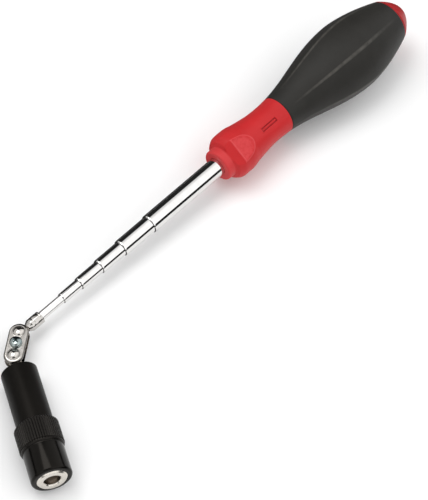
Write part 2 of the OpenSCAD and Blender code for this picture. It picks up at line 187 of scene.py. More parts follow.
def spline(xs, ys):
    """Monotone cubic through the points."""
    xs, ys = np.array(xs, float), np.array(ys, float)
    h = np.diff(xs); d = np.diff(ys) / h
    m = np.zeros(len(xs)); m[0], m[-1] = d[0], d[-1]
    for i in range(1, len(xs) - 1):
        m[i] = 0 if d[i - 1] * d[i] <= 0 else 2 * d[i - 1] * d[i] / (d[i - 1] + d[i])
    def f(x):
        i = int(min(max(np.searchsorted(xs, x) - 1, 0), len(h) - 1)); t = (x - xs[i]) / h[i]
        return float((2*t**3 - 3*t**2 + 1)*ys[i] + (t**3 - 2*t**2 + t)*h[i]*m[i] + (-2*t**3 + 3*t**2)*ys[i+1] + (t**3 - t**2)*h[i]*m[i+1])
    return f


def smooth01(x):
    x = np.clip(x, 0, 1)
    return x * x * (3 - 2 * x)


Z_RIDGE = u_col + 4.1                # where a flat meets its sloping front

# ---------------------------------------------------------------- materials
def mat(name):
    m = bpy.data.materials.new(name)
    m.use_nodes = True
    nt = m.node_tree
    nt.nodes.clear()
    out = nt.nodes.new("ShaderNodeOutputMaterial")
    b = nt.nodes.new("ShaderNodeBsdfPrincipled")
    nt.links.new(b.outputs[0], out.inputs[0])
    return m, nt, b


def node(nt, kind, **kw):
    n = nt.nodes.new(kind)
    ins = kw.pop("ins", {})
    for k, v in kw.items():
        setattr(n, k, v)
    for k, v in ins.items():
        n.inputs[k].default_value = v
    return n


def coords(nt, scale=(1, 1, 1), rot=None, frame_m=None):
    """Object coordinates in millimetres, optionally turned into a part's own axes."""
    tc = node(nt, "ShaderNodeTexCoord")
    mp = node(nt, "ShaderNodeMapping", vector_type="POINT")
    mp.inputs["Scale"].default_value = (1000 * scale[0], 1000 * scale[1], 1000 * scale[2])
    src = tc.outputs["Object"]
    if frame_m is not None:
        # express the point in the part's own axes with three dot products
        inv = frame_m.to_3x3().normalized().transposed()
        org = frame_m.translation
        sub = node(nt, "ShaderNodeVectorMath", operation="SUBTRACT")
        sub.inputs[1].default_value = tuple(org)
        nt.links.new(src, sub.inputs[0])
        comb = node(nt, "ShaderNodeCombineXYZ")
        for i in range(3):
            d = node(nt, "ShaderNodeVectorMath", operation="DOT_PRODUCT")
            d.inputs[1].default_value = tuple(inv[i])
            nt.links.new(sub.outputs[0], d.inputs[0])
            nt.links.new(d.outputs["Value"], comb.inputs[i])
        src = comb.outputs[0]
    nt.links.new(src, mp.inputs[0])
    return mp.outputs[0]


def noise(nt, vec, scale, detail=4, rough=0.55):
    n = node(nt, "ShaderNodeTexNoise", ins={"Scale": scale, "Detail": detail, "Roughness": rough})
    nt.links.new(vec, n.inputs["Vector"])
    return n.outputs["Fac"]


def remap(nt, val, a, b, lo=0.0, hi=1.0):
    r = node(nt, "ShaderNodeMapRange", ins={"From Min": lo, "From Max": hi, "To Min": a, "To Max": b})
    nt.links.new(val, r.inputs["Value"])
    return r.outputs[0]


def mixc(nt, fac, a, b):
    m = node(nt, "ShaderNodeMix", data_type="RGBA")
    nt.links.new(fac, m.inputs[0])
    m.inputs[6].default_value = (*a, 1); m.inputs[7].default_value = (*b, 1)
    return m.outputs[2]


def mth(nt, op, x, y=None):
    n = node(nt, "ShaderNodeMath", operation=op)
    for i, t in enumerate((x, y)):
        if t is None:
            continue
        if isinstance(t, (int, float)):
            n.inputs[i].default_value = float(t)
        else:
            nt.links.new(t, n.inputs[i])
    return n.outputs[0]


def mix2(nt, fac, a, b):
    """Mixes a colour socket or triple with another one."""
    m = node(nt, "ShaderNodeMix", data_type="RGBA")
    nt.links.new(fac, m.inputs[0])
    for i, t in ((6, a), (7, b)):
        if isinstance(t, tuple):
            m.inputs[i].default_value = (*t, 1)
        else:
            nt.links.new(t, m.inputs[i])
    return m.outputs[2]


def bump(nt, b, height, strength, dist, prev=None):
    bp = node(nt, "ShaderNodeBump", ins={"Strength": strength, "Distance": dist})
    nt.links.new(height, bp.inputs["Height"])
    if prev is not None:
        nt.links.new(prev, bp.inputs["Normal"])
    nt.links.new(bp.outputs[0], b.inputs["Normal"])
    return bp.outputs[0]


def m_red():
    """Red moulding, with painted highlights on the two flats and the lips round them, and painted shade down in the
    slots.
    """
    m, nt, b = mat("red_moulding")
    v = coords(nt)
    q = coords(nt, frame_m=M_SHAFT)
    sp = node(nt, "ShaderNodeSeparateXYZ"); nt.links.new(q, sp.inputs[0])
    X, Y, Z = sp.outputs["X"], sp.outputs["Y"], sp.outputs["Z"]
    ca, sa = math.cos(math.radians(30)), math.sin(math.radians(30))
    p1 = mth(nt, "ADD", mth(nt, "MULTIPLY", X, ca), mth(nt, "MULTIPLY", Y, sa))
    p2 = mth(nt, "SUBTRACT", mth(nt, "MULTIPLY", Y, ca), mth(nt, "MULTIPLY", X, sa))
    dz = mth(nt, "SUBTRACT", Z, Z_RIDGE)
    lean = mth(nt, "MINIMUM", mth(nt, "MULTIPLY", dz, math.tan(math.radians(7.2))), mth(nt, "MULTIPLY", dz, math.tan(math.radians(21))))
    e = mth(nt, "SUBTRACT", mth(nt, "ABSOLUTE", p1), mth(nt, "ADD", lean, collar_r - 1.47))
    zone = mth(nt, "MULTIPLY", mth(nt, "GREATER_THAN", Z, u_col + 0.5), mth(nt, "LESS_THAN", Z, u_col + 16))
    zone = mth(nt, "MULTIPLY", zone, mth(nt, "GREATER_THAN", dz, -0.45))
    # painted highlight: mask of the two flats, which are painted paler
    flat_highlight = mth(nt, "MULTIPLY", zone, remap(nt, e, 0.0, 1.0, -0.06, 0.0))
    # painted highlight: mask of a thin paler line round the lip of each flat
    rim = mth(nt, "MULTIPLY", zone, remap(nt, mth(nt, "ABSOLUTE", mth(nt, "ADD", e, 0.14)), 1.0, 0.0, 0.03, 0.20))
    rim = mth(nt, "MAXIMUM", rim, mth(nt, "MULTIPLY", flat_highlight, remap(nt, mth(nt, "ABSOLUTE", dz), 1.0, 0.0, 0.1, 0.45)))
    perp = mth(nt, "MINIMUM", mth(nt, "ABSOLUTE", p1), mth(nt, "ABSOLUTE", p2))
    edge = mth(nt, "MINIMUM", mth(nt, "SUBTRACT", 0.9, perp), mth(nt, "MINIMUM", mth(nt, "SUBTRACT", Z, u_waist - 7.9), mth(nt, "SUBTRACT", u_waist + 0.9, Z)))
    # painted shade: mask of the dark bottom of each slot
    slot_shade = mth(nt, "MULTIPLY", remap(nt, edge, 0.0, 1.0, -0.02, 0.08), remap(nt, edge, 1.0, 0.0, 0.36, 0.60))
    base = mixc(nt, remap(nt, noise(nt, v, 0.09, 3), 0, 1, 0.3, 0.7), (0.505, 0.0210, 0.0235), (0.555, 0.0250, 0.0275))
    # painted highlights on the flats and their lips, then painted shade in the slots
    base = mix2(nt, mth(nt, "MULTIPLY", flat_highlight, remap(nt, noise(nt, v, 0.8, 4), 0.12, 0.60, 0.35, 0.65)), base, (0.64, 0.055, 0.062))
    base = mix2(nt, mth(nt, "MULTIPLY", rim, 0.62), base, (0.68, 0.090, 0.095))
    base = mix2(nt, mth(nt, "MULTIPLY", slot_shade, 0.62), base, (0.150, 0.004, 0.006))
    nose = remap(nt, Z, 0.55, 0.0, u_nose + 3.2, u_nose + 3.8)
    base = mix2(nt, nose, base, (0.64, 0.062, 0.066))
    base = mix2(nt, remap(nt, Z, 0.0, 0.55, u_rear - 0.9, u_rear - 0.6), base, (0.26, 0.010, 0.012))
    nt.links.new(base, b.inputs["Base Color"])
    nt.links.new(remap(nt, noise(nt, v, 0.9, 5), 0.34, 0.44), b.inputs["Roughness"])
    b.inputs["Specular IOR Level"].default_value = 0.16
    b.inputs["Subsurface Weight"].default_value = 0.08
    b.inputs["Subsurface Radius"].default_value = (0.0018, 0.0005, 0.0004)
    n1 = bump(nt, b, noise(nt, v, 3.2, 3), 0.10, 0.00006)
    bump(nt, b, noise(nt, v, 0.22, 2), 0.10, 0.0004, n1)
    return m


def m_grip():
    """Soft rubber, fine grained, with a painted highlight: a lighter line along each of its six ridges."""
    m, nt, b = mat("soft_grip")
    v = coords(nt)
    q = coords(nt, frame_m=M_SHAFT)
    sp = node(nt, "ShaderNodeSeparateXYZ"); nt.links.new(q, sp.inputs[0])
    at = node(nt, "ShaderNodeMath", operation="ARCTAN2")
    nt.links.new(sp.outputs["Y"], at.inputs[0]); nt.links.new(sp.outputs["X"], at.inputs[1])
    six = node(nt, "ShaderNodeMath", operation="MULTIPLY"); six.inputs[1].default_value = 6.0
    nt.links.new(at.outputs[0], six.inputs[0])
    cs = node(nt, "ShaderNodeMath", operation="COSINE"); nt.links.new(six.outputs[0], cs.inputs[0])
    ridge = remap(nt, cs.outputs[0], 1.0, 0.0, -1.0, -0.94)
    on = remap(nt, sp.outputs["Z"], 0.0, 1.0, u_split + 3, u_split + 22)
    off = remap(nt, sp.outputs["Z"], 1.0, 0.0, u_rear - 30, u_rear - 3)
    k1 = node(nt, "ShaderNodeMath", operation="MULTIPLY"); nt.links.new(ridge, k1.inputs[0]); nt.links.new(on, k1.inputs[1])
    k2 = node(nt, "ShaderNodeMath", operation="MULTIPLY"); nt.links.new(k1.outputs[0], k2.inputs[0]); nt.links.new(off, k2.inputs[1])
    # painted highlight: a lighter line along each ridge, faded out towards both ends of the grip
    ridge_highlight = node(nt, "ShaderNodeMath", operation="MULTIPLY"); nt.links.new(k2.outputs[0], ridge_highlight.inputs[0])
    nt.links.new(remap(nt, noise(nt, v, 0.35, 4), 0.35, 1.0, 0.3, 0.7), ridge_highlight.inputs[1])
    base = node(nt, "ShaderNodeMix", data_type="RGBA")
    nt.links.new(ridge_highlight.outputs[0], base.inputs[0])
    nt.links.new(mixc(nt, remap(nt, noise(nt, v, 0.12, 4), 0, 1, 0.3, 0.7), (0.0135, 0.0125, 0.0105), (0.0180, 0.0168, 0.0143)), base.inputs[6])
    # colour of the painted ridge highlight
    base.inputs[7].default_value = (0.078, 0.073, 0.064, 1)
    nt.links.new(base.outputs[2], b.inputs["Base Color"])
    nt.links.new(remap(nt, noise(nt, v, 1.4, 5), 0.46, 0.58), b.inputs["Roughness"])
    b.inputs["Specular IOR Level"].default_value = 0.26
    b.inputs["Sheen Weight"].default_value = 0.03
    b.inputs["Sheen Roughness"].default_value = 0.5
    n1 = bump(nt, b, noise(nt, v, 6.5, 3, 0.7), 0.22, 0.00006)
    bump(nt, b, noise(nt, v, 1.1, 4), 0.10, 0.0002, n1)
    return m


def m_metal(name, base, base2, r0, r1, frame_m=None, stretch=(1, 1, 1), bstr=0.05, scale=2.0, aniso=0.0):
    m, nt, b = mat(name)
    v = coords(nt, stretch, frame_m=frame_m)
    w = coords(nt)
    b.inputs["Metallic"].default_value = 1.0
    nt.links.new(mixc(nt, remap(nt, noise(nt, w, 0.35, 3), 0, 1, 0.3, 0.7), base, base2), b.inputs["Base Color"])
    nt.links.new(remap(nt, noise(nt, v, scale, 6, 0.7), r0, r1, 0.3, 0.7), b.inputs["Roughness"])
    bump(nt, b, noise(nt, v, scale * 1.5, 4, 0.6), bstr, 0.00002)
    return m


def m_black(name, base, r0, r1, frame_m=M_HEAD, lines=0.06, spec=0.17):
    """Anodised aluminium: dark, with faint turning lines round the axis and dust-fine wear."""
    m, nt, b = mat(name)
    v = coords(nt, (0.05, 0.05, 6.0), frame_m=frame_m)
    w = coords(nt)
    nt.links.new(mixc(nt, remap(nt, noise(nt, w, 0.5, 5), 0, 1, 0.35, 0.7), base, tuple(c * 1.5 for c in base)), b.inputs["Base Color"])
    nt.links.new(remap(nt, noise(nt, w, 1.6, 6, 0.7), r0, r1, 0.3, 0.7), b.inputs["Roughness"])
    b.inputs["Specular IOR Level"].default_value = spec
    b.inputs["Specular Tint"].default_value = (1.0, 0.92, 0.83, 1)
    n1 = bump(nt, b, noise(nt, v, 1.0, 5, 0.7), lines, 0.00003)
    bump(nt, b, noise(nt, w, 5.0, 3), 0.08, 0.00003, n1)
    return m


def m_plain(name, c0, c1, r0, r1, scale=0.8, metal=0.0, bstr=0.15, bscale=3.0):
    m, nt, b = mat(name)
    v = coords(nt)
    b.inputs["Metallic"].default_value = metal
    nt.links.new(mixc(nt, remap(nt, noise(nt, v, scale, 4), 0, 1, 0.3, 0.7), c0, c1), b.inputs["Base Color"])
    nt.links.new(remap(nt, noise(nt, v, scale * 3, 5), r0, r1), b.inputs["Roughness"])
    bump(nt, b, noise(nt, v, bscale, 4), bstr, 0.00005)
    return m


RED = m_red()
GRIP = m_grip()
CHROME = m_metal("chrome", (0.77, 0.76, 0.745), (0.72, 0.71, 0.70), 0.02, 0.05, M_SHAFT, (1, 1, 0.12), 0.012)


def paint_mouth_shade(m):
    """Painted shade: a dark line in the mouth of each tube, heavier on the underside."""
    nt = m.node_tree
    b = [n for n in nt.nodes if n.type == "BSDF_PRINCIPLED"][0]
    link = b.inputs["Base Color"].links[0]
    old = link.from_socket
    sp = node(nt, "ShaderNodeSeparateXYZ"); nt.links.new(coords(nt, frame_m=M_SHAFT), sp.inputs[0])
    X, Y, Z = sp.outputs["X"], sp.outputs["Y"], sp.outputs["Z"]
    rad = mth(nt, "POWER", mth(nt, "ADD", mth(nt, "MULTIPLY", X, X), mth(nt, "MULTIPLY", Y, Y)), 0.5)
    mouth_shade = None
    for k, u in enumerate((u_t1, u_t2, u_t3, u_t4, u_t5)):
        face = remap(nt, mth(nt, "ABSOLUTE", mth(nt, "SUBTRACT", Z, u + 0.02)), 1.0, 0.0, 0.03, 0.10)
        face = mth(nt, "MULTIPLY", face, mth(nt, "LESS_THAN", rad, tube_od[k] / 2 - 0.04))
        face = mth(nt, "MULTIPLY", face, mth(nt, "GREATER_THAN", rad, tube_od[k + 1] / 2 + 0.01))
        mouth_shade = face if mouth_shade is None else mth(nt, "MAXIMUM", mouth_shade, face)
    # painted shade: the line in each mouth is made heavier on the underside
    under = remap(nt, Y, 1.0, 0.25, -1.0, 1.5)
    # dark colour of the painted shade
    nt.links.new(mix2(nt, mth(nt, "MULTIPLY", mouth_shade, under), old, (0.030, 0.028, 0.026)), b.inputs["Base Color"])


paint_mouth_shade(CHROME)
FERRULE = m_metal("ferrule_chrome", (0.58, 0.56, 0.535), (0.50, 0.48, 0.455), 0.02, 0.06, M_SHAFT, (0.05, 0.05, 3), 0.03)
NICKEL = m_metal("nickel", (0.70, 0.67, 0.64), (0.60, 0.57, 0.54), 0.10, 0.20, None, (1, 1, 1), 0.08)


def m_plate():
    """Nickel, darker along the rolled edge, with painted shade round the foot of each dome."""
    m, nt, b = mat("plate_nickel")
    w = coords(nt)
    q = coords(nt, frame_m=M_LINK)
    b.inputs["Metallic"].default_value = 1.0
    sp = node(nt, "ShaderNodeSeparateXYZ"); nt.links.new(q, sp.inputs[0])

    def mth(op, x, y=None):
        n_ = node(nt, "ShaderNodeMath", operation=op)
        for i, t_ in enumerate((x, y)):
            if t_ is None:
                continue
            if isinstance(t_, (int, float)):
                n_.inputs[i].default_value = t_
            else:
                nt.links.new(t_, n_.inputs[i])
        return n_.outputs[0]
    cx = mth("SUBTRACT", sp.outputs["X"], mth("MINIMUM", mth("MAXIMUM", sp.outputs["X"], 0.0), float(GAP)))
    de = mth("POWER", mth("ADD", mth("MULTIPLY", cx, cx), mth("MULTIPLY", sp.outputs["Y"], sp.outputs["Y"])), 0.5)
    edge = remap(nt, de, 0.0, 1.0, 3.0, 3.65)
    x2 = mth("SUBTRACT", sp.outputs["X"], mth("MULTIPLY", mth("ROUND", mth("DIVIDE", sp.outputs["X"], float(GAP))), float(GAP)))
    dd = mth("POWER", mth("ADD", mth("MULTIPLY", x2, x2), mth("MULTIPLY", sp.outputs["Y"], sp.outputs["Y"])), 0.5)
    # painted shade: a dark ring round the foot of each dome
    foot_shade = remap(nt, mth("ABSOLUTE", mth("SUBTRACT", dd, 2.25)), 1.0, 0.0, 0.0, 0.60)
    # dark mask: the rolled edge made darker, and the painted shade at the dome feet
    edge_dark_and_foot_shade = mth("MAXIMUM", mth("MULTIPLY", edge, 0.95), mth("MULTIPLY", foot_shade, 0.72))
    base = node(nt, "ShaderNodeMix", data_type="RGBA")
    nt.links.new(mth("MULTIPLY", edge_dark_and_foot_shade, remap(nt, noise(nt, w, 1.2, 4), 0.7, 1.0, 0.3, 0.7)), base.inputs[0])
    nt.links.new(mixc(nt, remap(nt, noise(nt, w, 0.35, 3), 0, 1, 0.3, 0.7), (0.72, 0.69, 0.655), (0.50, 0.475, 0.44)), base.inputs[6])
    # dark colour for the edge line and the painted shade
    base.inputs[7].default_value = (0.055, 0.047, 0.040, 1)
    nt.links.new(base.outputs[2], b.inputs["Base Color"])
    nt.links.new(remap(nt, noise(nt, w, 2.0, 6, 0.7), 0.05, 0.12, 0.3, 0.7), b.inputs["Roughness"])
    bump(nt, b, noise(nt, w, 1.6, 4, 0.6), 0.12, 0.00006)
    return m


PLATE = m_plate()
STUD = m_metal("stud_nickel", (0.62, 0.58, 0.53), (0.52, 0.48, 0.43), 0.08, 0.18, None, (1, 1, 1), 0.06)
ZINC = m_metal("blue_zinc", (0.17, 0.225, 0.235), (0.36, 0.405, 0.395), 0.08, 0.18, None, (1, 1, 1), 0.12)
STEEL = m_metal("plain_steel", (0.58, 0.58, 0.58), (0.50, 0.50, 0.51), 0.22, 0.36, None, (1, 1, 1), 0.12)
BRASS = m_metal("brass", (0.82, 0.62, 0.30), (0.74, 0.54, 0.24), 0.18, 0.32, None, (1, 1, 1), 0.10)
MAGNET = m_metal("magnet_nickel", (0.68, 0.645, 0.59), (0.61, 0.575, 0.52), 0.16, 0.28, None, (1, 1, 1), 0.10, 1.2)
CELL = m_metal("cell_steel", (0.76, 0.76, 0.75), (0.68, 0.68, 0.68), 0.14, 0.26, None, (1, 1, 1), 0.08)
ANOD = m_black("black_anodised", (0.0024, 0.0021, 0.0018), 0.34, 0.44, spec=0.10)
ANOD_K = m_black("black_knurl", (0.0020, 0.0018, 0.0016), 0.24, 0.34, lines=0.02, spec=0.21)
GLOSS = m_black("black_nose", (0.0016, 0.0015, 0.0013), 0.13, 0.20, spec=0.15)
WHITE = m_plain("white_plastic", (0.78, 0.77, 0.73), (0.84, 0.83, 0.79), 0.40, 0.55)
SEAL = m_plain("seal_rubber", (0.012, 0.012, 0.012), (0.02, 0.02, 0.02), 0.45, 0.6)
BOARD = m_plain("circuit_board", (0.02, 0.14, 0.06), (0.03, 0.18, 0.08), 0.30, 0.42)


def m_lamp():
    m, nt, b = mat("lamp_resin")
    v = coords(nt)
    nt.links.new(mixc(nt, remap(nt, noise(nt, v, 0.6, 3), 0, 1, 0.3, 0.7), (0.26, 0.20, 0.16), (0.38, 0.31, 0.25)), b.inputs["Base Color"])
    nt.links.new(remap(nt, noise(nt, v, 2.0, 4), 0.10, 0.20), b.inputs["Roughness"])
    b.inputs["Transmission Weight"].default_value = 0.25
    b.inputs["IOR"].default_value = 1.5
    bump(nt, b, noise(nt, v, 2.0, 3), 0.04, 0.00005)
    return m


LAMP = m_lamp()

# ---------------------------------------------------------------- handle: red core
CR = spline([u_nose + v for v in (5.0, 5.7, 6.7, 7.6, 9.0, 11.6, 13.2, 14.1, 15.0, 15.9, 16.9, 17.8, 19.7, 21.5, 23.4, 25.3, 27.2, 30.0, 32.8, 34.7, 37.07)],
            [9.25, 9.68, 10.06, 10.17, 10.19, 10.17, 10.02, 9.86, 9.66, 9.47, 9.33, 9.17, 8.88, 8.65, 8.45, 8.27, 8.16, waist_r, flat_r(u_nose + 32.8), flat_r(u_nose + 34.7), flat_r(u_split)])


def core_r(th, r, z):
    rr = np.full(len(th), r)
    # two leaning flats on the collar, each with a sloping front, a soft lip round its edge
    if u_col - 0.1 < z < u_col + 16 and r > 7.2:
        dz = z - Z_RIDGE
        h = collar_r - 1.47 + (math.tan(math.radians(7.2)) * dz if dz > 0 else math.tan(math.radians(21)) * dz)
        h += 0.14 * math.exp(-(dz / 0.38) ** 2)
        for a_ in (30, 210):
            d = (th - math.radians(a_) + PI) % (2 * PI) - PI
            m = np.abs(d) < math.radians(50)
            pl = np.where(m, h / np.maximum(np.cos(d), 0.3), 99.0)
            e = 0.16
            x = np.clip((pl - rr) / e, -1, 1)
            lip = 0.13 * np.exp(-((pl - rr - 0.05) / 0.24) ** 2) * float(smooth01((dz + 0.2) / 0.8))
            rr = np.where(pl - rr < -e, pl, np.where(pl - rr > e, rr, rr - e * (1 - x) ** 2 / 4)) + np.where(m, lip, 0)
    # shallow moulded slots on the waist, each with a thin bar along its middle
    z0, z1 = u_waist - 7.9, u_waist + 0.9
    if z0 - 0.6 < z < z1 + 0.6:
        for a in (30, 120, 210, 300):
            y = np.abs(rr * np.sin((th - math.radians(a) + PI) % (2 * PI) - PI))
            near = np.cos(th - math.radians(a)) > 0.5
            edge = np.minimum(0.9 - y, min(z - z0, z1 - z))
            inner = np.minimum(0.34 - y, z - z0 - 0.9)
            dep = 0.42 * smooth01(edge / 0.22 + 0.5) - 0.20 * smooth01(inner / 0.22 + 0.5)
            rr = np.where(near, rr - np.maximum(dep, 0), rr)
    return rr


prof = rounded([(4.02, u_nose + 8, 0), (4.02, u_nose, 0.25), (nose_r, u_nose, 0.85), (nose_r + 0.05, u_nose + 3.55, 0.5),
                (CR(u_nose + 5.0) - 0.5, u_nose + 4.35, 0.4), (CR(u_nose + 5.0), u_nose + 5.0, 0)], seg=8)
prof = dense(prof, 0.16)
zz = np.arange(u_nose + 5.12, u_split - 0.25, 0.12)
prof += [(CR(z), z) for z in zz]
rs = flat_r(u_split)
prof += [(rs - 0.01, u_split - 0.22), (rs - 0.06, u_split - 0.1), (rs - 0.2, u_split - 0.02), (rs - 0.6, u_split), (7.4, u_split + 0.02)]
prof += [(max(7.4, flat_r(u) - 4.0), u) for u in np.linspace(u_split + 1, u_rear - 3, 30)]
prof += [(4.02, u_rear - 3)]
core = lathe("red_core", prof, M_SHAFT, RED, "handle", ["handle_core"], n=480, rfun=core_r, closed=True, sharp=35)


# ---------------------------------------------------------------- handle: grip
def grip_section(th, r, z):
    t = min(1, max(0, (z - u_split) / (u_rear - u_split)))
    f = math.sin(PI * t) ** 0.75
    p = 60.0
    s = sum(np.maximum(np.cos(th - math.radians(60 * k)), 0) ** p for k in range(6))
    hexr = s ** (-1 / p)
    if r < flat_r(z) - 1.5:
        return np.full(len(th), r)
    return r * 0.9993 * (1 + 0.36 * f * (hexr - 1))


prof = [(7.42, u_split + 0.02), (rs - 0.6, u_split + 0.02), (rs - 0.22, u_split + 0.06), (rs - 0.06, u_split + 0.16), (rs + 0.01, u_split + 0.34)]
u_lap = u_rear - 0.8          # the red butt laps this far forward over the grip's end
prof += [(flat_r(u), u) for u in np.linspace(u_split + 0.8, u_lap - 0.5, 130)]
prof += [(flat_r(u_lap - 0.3) - 0.02, u_lap - 0.28), (flat_r(u_lap) - 0.06, u_lap - 0.1), (flat_r(u_lap) - 0.25, u_lap - 0.02), (7.62, u_lap - 0.01)]
prof += [(max(7.42, flat_r(u) - 3.98), u) for u in np.linspace(u_rear - 3, u_split + 1, 30)]
lathe("soft_grip", prof, M_SHAFT, GRIP, "handle", ["grip_sleeve"], n=360, rfun=grip_section, closed=True, sharp=40)

# butt: a flattish dome
prof = [(4.02, u_ream - 4), (4.02, u_ream), (0, u_ream)]
prof = [(0, u_end - 0.02)]
for i in range(1, 40):
    t = i / 40
    r = rear_r * t
    prof.append((r * 0.997, u_end - 0.02 - (u_end - u_rear) * t * t))
prof += [(rear_r * 0.998, u_rear), (flat_r(u_rear - 0.4) * 0.998, u_rear - 0.4), (flat_r(u_lap + 0.12) - 0.05, u_lap + 0.12), (flat_r(u_lap) - 0.2, u_lap + 0.02), (flat_r(u_lap) - 0.5, u_lap), (7.6, u_lap), (7.6, u_rear - 2.98), (4.02, u_rear - 2.98), (4.02, u_ream), (0, u_ream)]
lathe("butt", prof, M_SHAFT, RED, "handle", ["butt_cap"], n=192)

# ---------------------------------------------------------------- tubes
def tube(name, i, u0, u1, body, nodes, seat=True):
    """Rolled front lip, straight polished wall, stepped seat for the friction sleeve at the rear."""
    ro = tube_od[i] / 2
    ri = ro - 0.35 if i < 5 else 0.9
    lipr = tube_od[i + 1] / 2 + 0.03 if i < 5 else 0.9
    pts = [(ri, u1, 0)]
    if i < 5:
        pts += [(ri, u0 + 1.2, 0.1), (lipr, u0 + 1.05, 0.08), (lipr, u0, 0.10), (ro - 0.10, u0, 0.14), (ro, u0 + 0.55, 0.6)]
    else:
        pts += [(ri, u0, 0), (ro, u0, 0.05)]
    if seat:
        pts += [(ro, u1 - 11, 0), (ro - 0.15, u1 - 11, 0), (ro - 0.15, u1 - 1, 0), (ro, u1 - 1, 0)]
    pts += [(ro, u1, 0)]
    return lathe(name, rounded(pts, closed=True, seg=4), M_SHAFT, CHROME, body, nodes, n=160, closed=True, sharp=40)


tube("tube_1_fixed", 0, u_t1, u_ream, "handle", ["outer_tube"], seat=False)
tube("tube_2_wall", 1, u_t2, u_t2 + tube_len, "tube_2", ["tube_2"])
tube("tube_3_wall", 2, u_t3, u_t3 + tube_len, "tube_3", ["tube_3"])
tube("tube_4_wall", 3, u_t4, u_t4 + tube_len, "tube_4", ["tube_4"])
tube("tube_5_wall", 4, u_t5, u_t5 + tube_len, "tube_5", ["tube_5"])
tube("tube_6_wall", 5, u_fer + 2.7, u_fer2 + tube_len, "tip", ["tip_tube"])

# ferrule with crimp grooves
prof = rounded([(1.18, u_fer + 1.2, 0), (1.18, u_cone, 0.12), (1.5, u_cone, 0.15), (2.38, u_fer - 0.25, 0.2), (2.5, u_fer + 0.05, 0.15), (2.5, u_fer + 1.15, 0.1),
                (2.455, u_fer + 1.3, 0.1), (2.455, u_fer + 1.5, 0.1), (2.5, u_fer + 1.65, 0.1), (2.5, u_fer2 - 1.2, 0.1), (2.455, u_fer2 - 1.05, 0.1),
                (2.455, u_fer2 - 0.85, 0.1), (2.5, u_fer2 - 0.7, 0.1), (2.5, u_fer2 - 0.15, 0.15), (2.25, u_fer2, 0.1), (1.76, u_fer2, 0.05), (1.76, u_fer + 1.2, 0)], closed=True, seg=4)
lathe("ferrule", prof, M_SHAFT, FERRULE, "tip", ["tip_ferrule"], n=128, closed=True, sharp=40)


def ball_profile(R, neck, extra):
    t0 = math.asin(neck / R)
    arc = [(R * math.sin(t), -R * math.cos(t)) for t in np.linspace(0, PI - t0, 40)]
    return [(max(r, 0.0) if i else 0.0, z) for i, (r, z) in enumerate(arc)] + extra


end = u_fer + 1.25
lathe("stud_front", ball_profile(2.5, 1.15, rounded([(1.15, 2.6, 0.1), (1.15, end, 0.05), (1.7, end, 0.1), (1.7, end + 1.2, 0.15), (0, end + 1.2, 0)], seg=3)),
      M_SHAFT, STUD, "shaft_stud", ["shaft_stud"], n=96)
end = d_top + 3.05
lathe("stud_head", ball_profile(2.5, 1.25, rounded([(1.25, 2.6, 0.1), (1.25, d_top - 0.75, 0.1), (2.3, d_top - 0.75, 0.12), (2.3, d_top - 0.05, 0.1), (1.45, d_top - 0.05, 0.05),
                                                   (1.45, end, 0.05), (2.7, end, 0.1), (2.7, end + 1.0, 0.15), (0, end + 1.0, 0)], seg=3)),
      M_HEAD, STUD, "head_stud", ["head_stud"], n=96)


